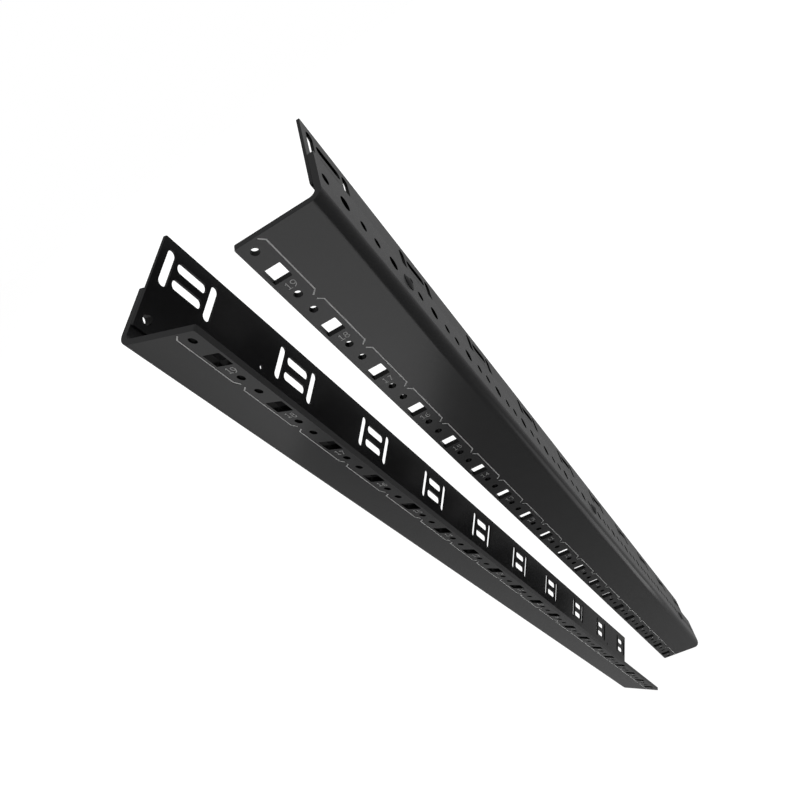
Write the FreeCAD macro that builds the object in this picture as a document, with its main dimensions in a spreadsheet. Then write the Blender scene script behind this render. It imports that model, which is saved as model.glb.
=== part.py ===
"""Pair of vertical rack mounting rails with riveted slotted strips.

Each rail is a bent angle of perforated sheet with a slotted strip riveted inside its side flange.
A rail has its own axes: X from the free edge of the face to the bend, Y rearwards from the front
of the face and Z up from the bottom end. The left rail is the mirror image of the right one.
"""
import FreeCAD
import Part
import Sketcher
import math
import os

# Driving dimensions in millimetres and degrees.
SIZES = (
    ("rack_units", 19),
    ("unit_height", 44.45),
    ("hole_inset", 6.35),
    ("face_width", 46.5),
    ("side_depth", 32.5),
    ("rail_sheet", 3.3),
    ("bend_radius", 1.5),
    ("corner_round", 1.0),
    ("face_line", 6.6),
    ("square_hole", 9.5),
    ("face_hole", 4.2),
    ("side_line", 17.9),
    ("side_hole", 5.5),
    ("side_hole_large", 7.5),
    ("strip_sheet", 1.65),
    ("strip_front", 11.2),
    ("strip_width", 51.4),
    ("slot_width", 5.5),
    ("slot_length", 20.5),
    ("slot_margin", 4.6),
    ("slot_pair", 9.56),
    ("slot_span", 30.5),
    ("hanging_hole", 3.0),
    ("hanging_margin", 25.7),
    ("rivet_clearance", 0.1),
    ("rivet_head", 9.5),
    ("rivet_head_height", 1.6),
    ("rivet_bevel", 1.1),
    ("formed_head", 7.0),
    ("formed_head_height", 2.0),
    ("right_edge_x", 8.263),
    ("right_edge_y", -14.935),
    ("edge_gap_x", 23.28),
    ("edge_gap_y", 32.73),
    ("left_turn", 22.9),
)

# Lengths that several sub-parts share, as expressions on the sheet.
RAIL_LENGTH = "(sizes.rack_units * sizes.unit_height)"
FLANGE_INSIDE = "(sizes.face_width - sizes.rail_sheet)"
STRIP_INSIDE = "(sizes.face_width - sizes.rail_sheet - sizes.strip_sheet)"
STRIP_REAR = "(sizes.strip_front + sizes.strip_width)"
SLOT_LINE = f"({STRIP_REAR} - sizes.slot_margin - sizes.slot_length / 2)"
HANGING_LINE = f"({STRIP_REAR} - sizes.hanging_margin)"
UNIT_MIDDLE = "(sizes.unit_height / 2)"
UPPER_HOLE = "(sizes.unit_height - sizes.hole_inset)"

# The riveted side holes: the unit counted from the bottom, and the hole's height in that unit.
RIVET_HEIGHTS = {
    "low": f"(1 * sizes.unit_height + {UPPER_HOLE})",
    "mid": f"(9 * sizes.unit_height + {UPPER_HOLE})",
    "high": "(17 * sizes.unit_height + sizes.hole_inset)",
}

HANDS = {"right": 1, "left": -1}
EDGE_SIZES = {"Fillet": "Radius", "Chamfer": "Size"}
ORIGIN_POINT = (-1, 1)
UP = FreeCAD.Vector(0, 0, 1)

# A cut takes away at least this share of the metal, and lengths this close are the same.
LEAST_CUT = 1e-9
SAME_LENGTH = 1e-4

# Length that an octagon's corner takes off each side of its square, as a share of that side.
CORNER_SHARE = 1 - math.sqrt(0.5)

# Sides of the outlines that stand for a rivet's round ones.
TURNED_SIDES = 12


def make_sheet(doc):
    """Spreadsheet with one aliased cell for each driving dimension."""
    sheet = doc.addObject("Spreadsheet::Sheet", "sizes")
    for row, (alias, value) in enumerate(SIZES, start=1):
        sheet.set(f"A{row}", alias)
        sheet.set(f"B{row}", str(value))
        sheet.setAlias(f"B{row}", alias)
    doc.recompute()


def make_body(doc, hand, label):
    """Body of one sub-part, placed with the rail of its hand."""
    name = f"{hand}_{label}"
    body = doc.addObject("PartDesign::Body", name)
    body.Label = name
    if hand == "right":
        body.setExpression("Placement.Base.x", "sizes.right_edge_x")
        body.setExpression("Placement.Base.y", "sizes.right_edge_y")
    else:
        clockwise = FreeCAD.Rotation(FreeCAD.Vector(0, 0, -1), sheet_value("left_turn"))
        body.Placement = FreeCAD.Placement(FreeCAD.Vector(), clockwise)
        body.setExpression("Placement.Base.x", "sizes.right_edge_x - sizes.edge_gap_x")
        body.setExpression("Placement.Base.y", "sizes.right_edge_y - sizes.edge_gap_y")
        body.setExpression("Placement.Rotation.Angle", "sizes.left_turn")
    return body


def sheet_value(alias):
    """Number held by one cell of the sheet."""
    return float(FreeCAD.ActiveDocument.getObject("sizes").get(alias))


def number(expression):
    """Value of an expression on the sheet, for a sketch's first guess."""
    sheet = FreeCAD.ActiveDocument.getObject("sizes")
    return float(sheet.evalExpression(expression.replace("sizes.", "")))


def make_sketch(body, plane, label):
    """Empty sketch on one of the body's own origin planes."""
    sketch = body.newObject("Sketcher::SketchObject", f"{body.Label}_{label}")
    support = next(item for item in body.Origin.OriginFeatures if item.Role == plane)
    sketch.AttachmentSupport = (support, [""])
    sketch.MapMode = "FlatFace"
    return sketch


def bind(sketch, measures):
    """Constraints whose values follow expressions; a measure is a kind, its places and its expression."""
    indexes = sketch.addConstraint([
        Sketcher.Constraint(kind, *places, number(expression)) for kind, places, expression in measures
    ])
    for index, (_, _, expression) in zip(indexes, measures):
        sketch.setExpression(f"Constraints[{index}]", expression)


def coordinates(place, point):
    """Measures that tie a sketch point to two coordinates, given as expressions."""
    return [(kind, (*ORIGIN_POINT, *place), value) for kind, value in zip(("DistanceX", "DistanceY"), point)]


def vector(point):
    """Vector of a sketch point given as two expressions."""
    return FreeCAD.Vector(number(point[0]), number(point[1]), 0)


def add_outline(sketch, points):
    """Closed outline of straight sides through points given as pairs of expressions."""
    corners = [vector(point) for point in points]
    sides = [
        sketch.addGeometry(Part.LineSegment(start, end))
        for start, end in zip(corners, corners[1:] + corners[:1])
    ]
    sketch.addConstraint([
        Sketcher.Constraint("Coincident", side, 2, after, 1)
        for side, after in zip(sides, sides[1:] + sides[:1])
    ])
    measures = []
    for side, point in zip(sides, points):
        measures += coordinates((side, 1), point)
    bind(sketch, measures)


def add_circle(sketch, centre, diameter):
    """Circle bound to its centre and its diameter."""
    circle = sketch.addGeometry(Part.Circle(vector(centre), UP, number(diameter) / 2))
    bind(sketch, [("Diameter", (circle,), diameter)] + coordinates((circle, 3), centre))


def add_square(sketch, centre, side):
    """Square hole bound to its centre and its side."""
    ends = [(f"({place} - {side} / 2)", f"({place} + {side} / 2)") for place in centre]
    (left, right), (bottom, top) = ends
    add_outline(sketch, [(left, bottom), (right, bottom), (right, top), (left, top)])


def add_slot(sketch, centre, across, along):
    """Slot whose ends are half octagons, which stand for round ends with few faces."""
    corner = f"({CORNER_SHARE} * min({across}; {along}))"
    far = [f"({size} / 2)" for size in (across, along)]
    near_corner = [f"({size} / 2 - {corner})" for size in (across, along)]
    steps = [(far[0], near_corner[1]), (near_corner[0], far[1])]
    turns = (("+", "+", 1), ("-", "+", -1), ("-", "-", 1), ("+", "-", -1))
    points = []
    for sign_x, sign_y, order in turns:
        for step_x, step_y in steps[::order]:
            points.append((f"({centre[0]} {sign_x} {step_x})", f"({centre[1]} {sign_y} {step_y})"))
    add_outline(sketch, points)


def add_octagon(sketch, centre, width):
    """Octagonal hole as wide across its flats as the round hole that it stands for."""
    add_slot(sketch, centre, width, width)


def add_dodecagon(sketch, centre, width):
    """Twelve-sided outline, as wide across its corners as the round one that it stands for."""
    points = []
    for corner in range(TURNED_SIDES):
        angle = 2 * math.pi * corner / TURNED_SIDES
        across = f"({centre[0]} + {math.cos(angle)} * {width} / 2)"
        along = f"({centre[1]} + {math.sin(angle)} * {width} / 2)"
        points.append((across, along))
    add_outline(sketch, points)


def pad_along_rail(body, sketch, label):
    """Pad of a cross-section over the whole length of the rail."""
    pad = body.newObject("PartDesign::Pad", f"{body.Label}_{label}")
    pad.Profile = sketch
    pad.setExpression("Length", RAIL_LENGTH)
    body.Document.recompute()
    return pad


def cut_through(body, sketch, label):
    """Pocket through all the metal on the side of the sketch where the metal is."""
    doc = body.Document
    before = body.Shape.Volume
    pocket = body.newObject("PartDesign::Pocket", f"{body.Label}_{label}")
    pocket.Profile = sketch
    pocket.Type = "ThroughAll"
    doc.recompute()
    most_left = before * (1 - LEAST_CUT)
    if body.Shape.Volume > most_left:
        pocket.Reversed = True
        doc.recompute()
    if body.Shape.Volume > most_left:
        raise RuntimeError(f"{pocket.Name} cuts nothing")
    return pocket


def repeat_along_rail(body, features, label, count, pitch):
    """Linear pattern of features up the rail."""
    pattern = body.newObject("PartDesign::LinearPattern", f"{body.Label}_{label}")
    pattern.Originals = features
    axis = next(item for item in body.Origin.OriginFeatures if item.Role == "Z_Axis")
    pattern.Direction = (axis, [""])
    pattern.setExpression("Occurrences", count)
    pattern.setExpression("Length", f"({count} - 1) * {pitch}")
    body.Tip = pattern
    body.Document.recompute()


def dress_edges(body, base, kind, label, size, wanted):
    """Fillet or chamfer on the edges of base whose middle point and box pass a test."""
    names = []
    for index, edge in enumerate(base.Shape.Edges, start=1):
        if wanted(edge.CenterOfMass, edge.BoundBox):
            names.append(f"Edge{index}")
    dressed = body.newObject(f"PartDesign::{kind}", f"{body.Label}_{label}")
    dressed.Base = (base, names)
    dressed.setExpression(EDGE_SIZES[kind], size)
    body.Document.recompute()
    return dressed


def near(value, target):
    """True where two lengths agree."""
    return abs(value - target) < SAME_LENGTH


def rail(doc, hand):
    """Bent angle: face with square and round holes, side flange with a row of round holes."""
    sign = HANDS[hand]
    body = make_body(doc, hand, "rail")
    section = make_sketch(body, "XY_Plane", "section")
    outside = f"({sign} * sizes.face_width)"
    inside = f"({sign} * {FLANGE_INSIDE})"
    add_outline(section, [
        ("0", "0"),
        (outside, "0"),
        (outside, "sizes.side_depth"),
        (inside, "sizes.side_depth"),
        (inside, "sizes.rail_sheet"),
        ("0", "sizes.rail_sheet"),
    ])
    bent = pad_along_rail(body, section, "angle")
    length = number(RAIL_LENGTH)
    width = sign * sheet_value("face_width")
    depth = sheet_value("side_depth")
    thick = sheet_value("rail_sheet")
    bent = dress_edges(
        body, bent, "Fillet", "outer_bend", "sizes.bend_radius + sizes.rail_sheet",
        lambda middle, box: near(box.ZLength, length) and near(middle.x, width) and near(middle.y, 0))
    bent = dress_edges(
        body, bent, "Fillet", "inner_bend", "sizes.bend_radius",
        lambda middle, box: near(box.ZLength, length) and near(middle.x, width - sign * thick)
        and near(middle.y, thick))
    dress_edges(
        body, bent, "Fillet", "corners", "sizes.corner_round",
        lambda middle, box: (near(middle.x, 0) and near(box.YLength, thick))
        or (near(middle.y, depth) and near(box.XLength, thick)))
    face_line = f"({sign} * sizes.face_line)"
    side_line = "sizes.side_line"
    next_unit = "(sizes.unit_height + sizes.hole_inset)"
    next_upper = f"(sizes.unit_height + {UPPER_HOLE})"
    last_unit = "((sizes.rack_units - 1) * sizes.unit_height)"
    end_span = f"({RAIL_LENGTH} - 2 * sizes.hole_inset)"
    rows = (
        ("squares", "XZ_Plane", add_square, "sizes.square_hole", [(face_line, UNIT_MIDDLE)],
         "sizes.rack_units", "sizes.unit_height"),
        ("end_rounds", "XZ_Plane", add_circle, "sizes.face_hole",
         [(face_line, "sizes.hole_inset"), (face_line, UPPER_HOLE)], "2", last_unit),
        ("inner_rounds", "XZ_Plane", add_octagon, "sizes.face_hole",
         [(face_line, next_unit), (face_line, next_upper)], "(sizes.rack_units - 2)", "sizes.unit_height"),
        ("side_ends", "YZ_Plane", add_circle, "sizes.side_hole", [(side_line, "sizes.hole_inset")],
         "2", end_span),
        ("side_pairs", "YZ_Plane", add_octagon, "sizes.side_hole",
         [(side_line, UPPER_HOLE), (side_line, next_unit)], "(sizes.rack_units - 1)", "sizes.unit_height"),
        ("side_middles", "YZ_Plane", add_octagon, "sizes.side_hole_large", [(side_line, UNIT_MIDDLE)],
         "sizes.rack_units", "sizes.unit_height"),
    )
    for label, plane, add_hole, width, places, count, pitch in rows:
        first = make_sketch(body, plane, f"{label}_first")
        for place in places:
            add_hole(first, place, width)
        cut = cut_through(body, first, f"{label}_cut")
        repeat_along_rail(body, [cut], label, count, pitch)
    return body


def slotted_strip(doc, hand):
    """Flat strip inside the side flange, with a group of four slots in every second unit."""
    sign = HANDS[hand]
    body = make_body(doc, hand, "slotted_strip")
    section = make_sketch(body, "XY_Plane", "section")
    outside = f"({sign} * {FLANGE_INSIDE})"
    inside = f"({sign} * {STRIP_INSIDE})"
    add_outline(section, [
        (inside, "sizes.strip_front"),
        (outside, "sizes.strip_front"),
        (outside, STRIP_REAR),
        (inside, STRIP_REAR),
    ])
    flat = pad_along_rail(body, section, "blank")
    thick = sheet_value("strip_sheet")
    dress_edges(
        body, flat, "Fillet", "corners", "sizes.corner_round",
        lambda middle, box: near(box.XLength, thick) and near(box.YLength + box.ZLength, 0))
    holes = make_sketch(body, "YZ_Plane", "holes")
    for height in ("sizes.hole_inset", f"({RAIL_LENGTH} - sizes.hole_inset)"):
        add_circle(holes, ("sizes.side_line", height), "sizes.side_hole")
    for height in RIVET_HEIGHTS.values():
        add_octagon(holes, ("sizes.side_line", height), "sizes.side_hole")
    for place in ("low", "high"):
        add_octagon(holes, (HANGING_LINE, RIVET_HEIGHTS[place]), "sizes.hanging_hole")
    cut_through(body, holes, "single_holes")
    group = make_sketch(body, "YZ_Plane", "slot_group")
    for side in ("-", "+"):
        upright = (f"({SLOT_LINE} {side} sizes.slot_pair / 2)", UNIT_MIDDLE)
        lying = (SLOT_LINE, f"({UNIT_MIDDLE} {side} sizes.slot_span / 2)")
        add_slot(group, upright, "sizes.slot_width", "sizes.slot_length")
        add_slot(group, lying, "sizes.slot_length", "sizes.slot_width")
    slots = [cut_through(body, group, "slots")]
    repeat_along_rail(body, slots, "slot_groups", "((sizes.rack_units + 1) / 2)", "2 * sizes.unit_height")
    return body


def rivet(doc, hand, place):
    """Solid rivet: shank in both holes, formed head on the strip, low bevelled head on the flange."""
    sign = HANDS[hand]
    body = make_body(doc, hand, f"rivet_{place}")
    shank = "(sizes.side_hole - 2 * sizes.rivet_clearance)"
    grip = "(sizes.rail_sheet + sizes.strip_sheet)"
    steps = (
        ("shank", STRIP_INSIDE, shank, grip, 1),
        ("formed_head", STRIP_INSIDE, "sizes.formed_head", "sizes.formed_head_height", -1),
        ("head", "sizes.face_width", "sizes.rivet_head", "sizes.rivet_head_height", 1),
    )
    for label, start, width, length, outward in steps:
        outline = make_sketch(body, "YZ_Plane", f"{label}_outline")
        outline.setExpression("AttachmentOffset.Base.z", f"{sign} * {start}")
        add_dodecagon(outline, ("sizes.side_line", RIVET_HEIGHTS[place]), width)
        pad = body.newObject("PartDesign::Pad", f"{body.Label}_{label}")
        pad.Profile = outline
        pad.Reversed = sign * outward < 0
        pad.setExpression("Length", length)
        doc.recompute()
    top = sign * number("sizes.face_width + sizes.rivet_head_height")
    dress_edges(
        body, pad, "Chamfer", "head_bevel", "sizes.rivet_bevel",
        lambda middle, box: near(middle.x, top) and near(box.XLength, 0))
    return body


def check_model(doc, bodies):
    """Raises an error for any failed object or unsound solid."""
    for item in doc.Objects:
        if "Invalid" in item.State or "Error" in item.State:
            raise RuntimeError(f"{item.Name} failed: {item.State}")
    for body in bodies:
        shape = body.Shape
        if shape.isNull() or not shape.isValid() or len(shape.Solids) != 1:
            raise RuntimeError(f"{body.Label} is not one sound solid")


def main():
    """Builds both rails and writes one file for each sub-part."""
    doc = FreeCAD.newDocument("rack_rails")
    make_sheet(doc)
    bodies = []
    for hand in HANDS:
        bodies.append(rail(doc, hand))
        bodies.append(slotted_strip(doc, hand))
        for place in RIVET_HEIGHTS:
            bodies.append(rivet(doc, hand, place))
    doc.recompute()
    check_model(doc, bodies)
    os.makedirs("parts", exist_ok=True)
    for body in bodies:
        body.Shape.exportStep(f"parts/{body.Label}.step")


main()
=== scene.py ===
"""Mirrored pair of rack mounting rails: coated perforated sheets, rivets and printed unit marks."""

import bpy
import numpy as np
from mathutils import Matrix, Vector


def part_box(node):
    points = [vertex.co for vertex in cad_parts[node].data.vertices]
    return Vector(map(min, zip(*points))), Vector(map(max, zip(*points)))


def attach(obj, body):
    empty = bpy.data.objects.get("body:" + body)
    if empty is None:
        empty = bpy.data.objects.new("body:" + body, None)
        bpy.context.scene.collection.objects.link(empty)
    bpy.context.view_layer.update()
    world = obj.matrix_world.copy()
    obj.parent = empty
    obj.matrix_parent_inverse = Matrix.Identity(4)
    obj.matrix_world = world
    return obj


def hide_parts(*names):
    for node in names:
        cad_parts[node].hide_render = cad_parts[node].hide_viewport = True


bl_info = {
    "name": "Rack Mounting Rails",
    "version": (1, 0, 0),
    "blender": (4, 5, 0),
    "location": "View3D > Sidebar > Rack",
    "description": "Builds a pair of coated rack mounting rails with slotted strips and printed units",
    "category": "Add Mesh",
}

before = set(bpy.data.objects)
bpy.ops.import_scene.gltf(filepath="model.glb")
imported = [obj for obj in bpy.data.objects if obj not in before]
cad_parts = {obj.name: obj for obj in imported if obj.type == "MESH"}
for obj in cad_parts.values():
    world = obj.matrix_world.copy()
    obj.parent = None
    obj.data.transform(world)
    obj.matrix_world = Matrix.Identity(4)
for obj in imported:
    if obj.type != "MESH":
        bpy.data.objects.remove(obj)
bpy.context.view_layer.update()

MM = 0.001
HANDS = ("right", "left")

# Lowest and highest corners of the right rail and of its strip in millimetres.
RAIL_LOW, RAIL_HIGH = (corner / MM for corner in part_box("right_rail"))
STRIP_LOW, STRIP_HIGH = (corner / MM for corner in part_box("right_slotted_strip"))

# Grid steps of a sheet: along one side of a hole's block, over the arc of a corner, over the bend,
# over the plain part of the face, over a plain stretch beside holes and over a narrow margin.
BLOCK = 8
ARC = 3
BEND = 10
FACE = 3
PLAIN = 2
MARGIN = 1

# Bands that a unit is cut into along a sheet, one for each hole of a row: their number, those of the
# two outer holes and that of the middle one.
BANDS = 3
OUTER = (0, 2)
MIDDLE = (1,)

# Half widths of the blocks round the flange's holes and round the strip's holes behind them, the room
# between a slot and the border of its block, and the front of a hanging hole's block from its centre.
FLANGE_BLOCK = 5.6 * MM
ROW_BLOCK = 4.2 * MM
SLOT_ROOM = 1.6 * MM
HANGING_BLOCK = 5.2 * MM

# Units from one group of slots to the next.
SLOT_UNITS = 2

# Riveted holes: the whole units below each, and whether it is the upper hole of its unit.
RIVETED = {"low": (1, True), "mid": (9, True), "high": (17, False)}

# Points along each arc of a rivet's profile, and sides of its round.
ARC_POINTS = 10
TURNED_SIDES = 40

# Angles from which an edge is sharp, on the print and on a rivet.
PRINT_CREASE = np.radians(30.0)
RIVET_CREASE = np.radians(50.0)

# Width and height of a printed figure, and the share of the ink by which each further stroke lies lower.
FIGURE = np.array([0.6, 1.0])
STROKE_STEP = 0.1

# Places after the point to which a direction is rounded, and a length too short to have a direction.
DIRECTION_PLACES = 6
NO_LENGTH = 1e-12


def length(name, description, millimetres):
    """Length property with its default given in millimetres."""
    return bpy.props.FloatProperty(
        name=name, description=description, default=millimetres * MM, unit="LENGTH", precision=5)


def colour(name, description, *default):
    """Colour property."""
    return bpy.props.FloatVectorProperty(
        name=name, description=description, default=default, subtype="COLOR", size=3, min=0.0, max=1.0)


def factor(name, description, default):
    """Property between nought and one."""
    return bpy.props.FloatProperty(
        name=name, description=description, default=default, subtype="FACTOR", min=0.0, max=1.0)


class RackSizes(bpy.types.PropertyGroup):
    """Sizes of the two rails, measured from the free edge and the front of the face."""

    units: bpy.props.IntProperty(
        name="Units", description="Rack units that a rail holds", default=19, min=1)
    unit_height: length("Unit height", "Height of one rack unit", 44.45)
    hole_inset: length("Hole inset", "Height of the outer holes inside a unit", 6.35)
    face_width: length(
        "Face width", "Free edge of the face to the outside of the flange", RAIL_HIGH.x - RAIL_LOW.x)
    side_depth: length(
        "Side depth", "Front of the face to the rear of the flange", RAIL_HIGH.y - RAIL_LOW.y)
    rail_sheet: length("Rail sheet", "Thickness of the rail's sheet", RAIL_HIGH.x - STRIP_HIGH.x)
    bend_radius: length("Bend radius", "Inside radius of the bend", 3.2)
    face_line: length("Face line", "Free edge to the holes of the face", 6.6)
    square_hole: length("Square hole", "Side of the cage-nut holes", 9.5)
    square_corner: length("Square corner", "Corner radius of the cage-nut holes", 0.35)
    face_hole: length("Face hole", "Diameter of the round holes of the face", 4.2)
    side_line: length("Side line", "Front of the face to the holes of the flange", 17.9)
    side_hole: length("Side hole", "Diameter of the smaller holes of the flange", 5.5)
    side_hole_large: length("Large side hole", "Diameter of the flange's hole at mid unit", 7.5)
    strip_sheet: length("Strip sheet", "Thickness of the slotted strip", STRIP_HIGH.x - STRIP_LOW.x)
    strip_front: length(
        "Strip front", "Front of the face to the front of the strip", STRIP_LOW.y - RAIL_LOW.y)
    strip_width: length("Strip width", "Width of the slotted strip", STRIP_HIGH.y - STRIP_LOW.y)
    slot_width: length("Slot width", "Width of a slot", 5.5)
    slot_length: length("Slot length", "Length of a slot", 20.5)
    slot_margin: length("Slot margin", "Slots to the rear of the strip", 4.6)
    slot_pair: length("Slot pair", "Spacing of the two upright slots", 9.56)
    slot_span: length("Slot span", "Spacing of the two lying slots", 30.5)
    hanging_hole: length("Hanging hole", "Diameter of the strip's hanging holes", 2.6)
    hanging_margin: length("Hanging margin", "Hanging holes to the rear of the strip", 25.7)
    corner_round: length("Corner round", "Corner radius of the sheets", 1.0)
    rail_rim: length("Rail rim", "Edge radius of the coated rail", 0.14)
    strip_rim: length("Strip rim", "Edge radius of the coated strip", 0.1)
    rivet_head: length("Rivet head", "Diameter of a rivet's head", 9.5)
    rivet_head_height: length("Rivet head height", "Height of the domed head", 1.6)
    formed_head: length("Formed head", "Diameter of the head formed on the strip", 7.0)
    formed_head_height: length("Formed head height", "Height of the head formed on the strip", 2.0)
    mandrel_bore: length("Mandrel bore", "Diameter of the bore in a rivet's head", 2.9)
    mandrel: length("Mandrel", "Diameter of the mandrel's end in the bore", 2.0)
    rivet_clearance: length("Rivet clearance", "Room round the shank in its hole", 0.1)
    rivet_rim: length("Rivet rim", "Edge radius of a rivet's heads", 0.25)
    mandrel_height: factor(
        "Mandrel height", "Height of the mandrel's end as a share of the head's rise", 0.62)
    bore_floor: factor("Bore floor", "Height of the bore's floor as a share of the head's rise", 0.2)
    print_height: length("Print height", "How far the ink stands proud of the coat", 0.04)
    print_sunk: length("Print sunk", "How far the ink reaches into the coat", 0.02)
    bracket_line: length("Bracket line", "Width of the printed line", 0.66)
    bracket_near: length("Bracket near", "Right free edge to the ends of its brackets", 11.8)
    bracket_far: length("Bracket far", "Right free edge to the line of its brackets", 14.45)
    bracket_inset: length("Bracket inset", "End of the bracket to the end of its unit", 1.4)
    bracket_tick: length("Bracket tick", "Height of the bracket's slanted ends", 2.5)
    digit_height: length("Digit height", "Height of the unit numbers", 4.3)
    digit_line: length("Digit line", "Width of the numbers' strokes", 0.45)
    digit_pitch: factor("Digit pitch", "Spacing of two digits as a share of their height", 0.73)
    digit_drop: length("Digit drop", "Top of a unit to the middle of its number", 31.3)
    digit_middle: length("Digit middle", "Right free edge to the middle of its numbers", 7.6)
    left_print_shift: length(
        "Left print shift", "How much nearer the left rail's print is to its free edge", 1.05)
    right_edge_x: length(
        "Right edge across", "Place of the right rail's free edge across the pair", RAIL_LOW.x)
    right_edge_y: length(
        "Right edge depth", "Place of the right rail's front along the depth", RAIL_LOW.y)
    edge_gap_x: length("Edge gap across", "Left free edge to right free edge across the pair", 23.28)
    edge_gap_y: length("Edge gap depth", "Left free edge to right free edge along the depth", 32.73)
    left_turn: bpy.props.FloatProperty(
        name="Left turn", description="Clockwise turn of the left rail",
        default=np.radians(22.9), unit="ROTATION")


class RackFinish(bpy.types.PropertyGroup):
    """Colours and finishes of the coat, the ink and the rivets."""

    rail_colour: colour("Rail coat", "Powder coat of the rails", 0.0105, 0.0105, 0.0108)
    # The strips' black coat is set darker than the rails' as painted shade for the strips' shaded
    # insides.
    strip_shaded_colour: colour("Strip coat", "Powder coat of the strips", 0.0070, 0.0070, 0.0073)
    rivet_colour: colour("Rivet coat", "Black finish of the rivets", 0.0085, 0.0085, 0.0088)
    bracket_colour: colour("Bracket ink", "Print of the unit brackets", 0.50, 0.50, 0.496)
    number_colour: colour("Number ink", "Print of the unit numbers", 0.31, 0.31, 0.306)
    coat_gloss: factor("Coat gloss", "Strength of the powder coat's reflection", 0.18)
    coat_roughness: factor("Coat roughness", "Roughness of the powder coat's reflection", 0.20)
    rivet_gloss: factor("Rivet gloss", "Strength of the rivets' reflection", 0.18)


def placed(vectors, hand, origin=1.0):
    """Vectors in a rail's axes into the row frame, where the left rail is mirrored and turned.

    An origin of nought is for directions, which turn with the rail and aren't moved.
    """
    sizes = bpy.context.scene.rack_sizes
    turn, way, gap = {"right": (0.0, 1.0, 0.0), "left": (-sizes.left_turn, -1.0, 1.0)}[hand]
    x = way * vectors[..., 0]
    y = vectors[..., 1]
    return np.stack([
        origin * (sizes.right_edge_x - gap * sizes.edge_gap_x) + np.cos(turn) * x - np.sin(turn) * y,
        origin * (sizes.right_edge_y - gap * sizes.edge_gap_y) + np.sin(turn) * x + np.cos(turn) * y,
        vectors[..., 2],
    ], axis=-1)


def new_piece(name, points, faces, material, node=None):
    """Smooth mesh object at the origin that rides on the rails' one body and stands for a CAD node."""
    mesh = bpy.data.meshes.new(name)
    mesh.from_pydata(points.tolist(), [], faces)
    mesh.shade_smooth()
    mesh.materials.append(material)
    piece = bpy.data.objects.new(name, mesh)
    bpy.context.scene.collection.objects.link(piece)
    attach(piece, "root")
    if node:
        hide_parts(node)
    return piece


def grid_lines(bounds, steps):
    """Grid lines that divide each stretch between neighbouring bounds into its own even steps."""
    stretches = [
        np.linspace(start, end, count, endpoint=False)
        for start, end, count in zip(bounds[:-1], bounds[1:], steps)
    ]
    return np.concatenate([*stretches, bounds[-1:]])


def unit_lines(sizes, lower, upper, rim):
    """Grid lines along a sheet: each unit is cut at two heights into the blocks of its holes."""
    base = np.arange(sizes.units)[:, None] * sizes.unit_height
    cuts = (base + np.array([0.0, lower, upper])).ravel()[1:]
    total = sizes.units * sizes.unit_height
    corner = sizes.corner_round
    bounds = np.array([rim, corner, *cuts, total - corner, total - rim])
    return grid_lines(bounds, [ARC] + [BLOCK] * (BANDS * sizes.units) + [ARC])


def block_ring(across, along):
    """Steps round a block of the grid from its upper right corner, and the angles that they face."""
    quarter = np.pi / 2
    across_steps = np.arange(across)
    along_steps = np.arange(along)
    i = np.concatenate([across - across_steps, 0 * along_steps, across_steps, 0 * along_steps + across])
    j = np.concatenate([0 * across_steps + along, along - along_steps, 0 * across_steps, along_steps])
    angles = [
        quarter * (side + 0.5 + np.arange(count) / count)
        for side, count in enumerate((across, along, across, along))
    ]
    return i, j, np.concatenate(angles)


def rim_profile(thickness, rim):
    """Edge of a sheet from front to back: quarter circle, straight wall, quarter circle.

    Gives the distance from the wall, the depth, and the two parts of the normal: outwards and along
    the depth.
    """
    turn = np.array([0.0, 0.25, 0.5]) * np.pi
    away = rim * (1 - np.sin(turn))
    depth = rim * (1 - np.cos(turn))
    return (
        np.concatenate([away, away[::-1]]),
        np.concatenate([depth, thickness - depth[::-1]]),
        np.concatenate([np.sin(turn), np.sin(turn)[::-1]]),
        np.concatenate([-np.cos(turn), np.cos(turn)[::-1]]),
    )


def rounded_grid(across, along, rim, corner):
    """Grid of two sets of lines with its corners drawn in to arcs, and the way outwards at its border.

    A point past the centre of a corner's arc is put on its ray from that centre, as far out as its
    larger step past it.
    """
    grid = np.stack(np.meshgrid(across, along, indexing="ij"), axis=-1)
    low = grid[0, 0] + corner - rim
    high = grid[-1, -1] - corner + rim
    core = np.clip(grid, low, high)
    beyond = grid - core
    reach = np.maximum(np.hypot(beyond[..., 0], beyond[..., 1]), NO_LENGTH)
    heading = beyond / reach[..., None]
    return core + heading * np.abs(beyond).max(axis=-1, keepdims=True), heading


def hole_walls(hole, profile):
    """Walls of like holes, ring by ring from front to back: points, normals and edge values.

    The outline is a circle whose quarters are moved apart by the hole's straight sides, and the
    profile of the edge widens it at front and back.
    """
    away, depth, out, down = profile
    _, _, steps, centres, straight, radius = hole
    _, _, angles = block_ring(*steps)
    heading = np.stack([np.cos(angles), np.sin(angles)], axis=-1)
    apart = np.sign(np.round(heading, DIRECTION_PLACES)) * np.asarray(straight)
    outline = heading * (radius + away)[:, None, None] + apart
    shape = (len(centres), len(away), len(angles))
    points = np.empty(shape + (3,))
    points[..., :2] = centres[:, None, None, :] + outline
    points[..., 2] = depth[:, None]
    normals = np.empty(shape + (3,))
    normals[..., :2] = -heading * out[:, None, None]
    normals[..., 2] = down[:, None]
    # Edge values below nought mark the walls of the holes, which the coat darkens as painted shade.
    return points, normals, np.broadcast_to(-out[:, None], shape)


def outer_walls(border, heading, profile, rim):
    """Outer edge, as the walls of holes: the profile of the edge carried round the grid's border."""
    away, depth, out, down = (part[1:-1] for part in profile)
    points = np.empty((len(away), len(border), 3))
    points[..., :2] = border + heading * (rim - away)[:, None, None]
    points[..., 2] = depth[:, None]
    normals = np.empty_like(points)
    normals[..., :2] = heading * out[:, None, None]
    normals[..., 2] = down[:, None]
    return points, normals, np.broadcast_to(out[:, None], points.shape[:2])


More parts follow.
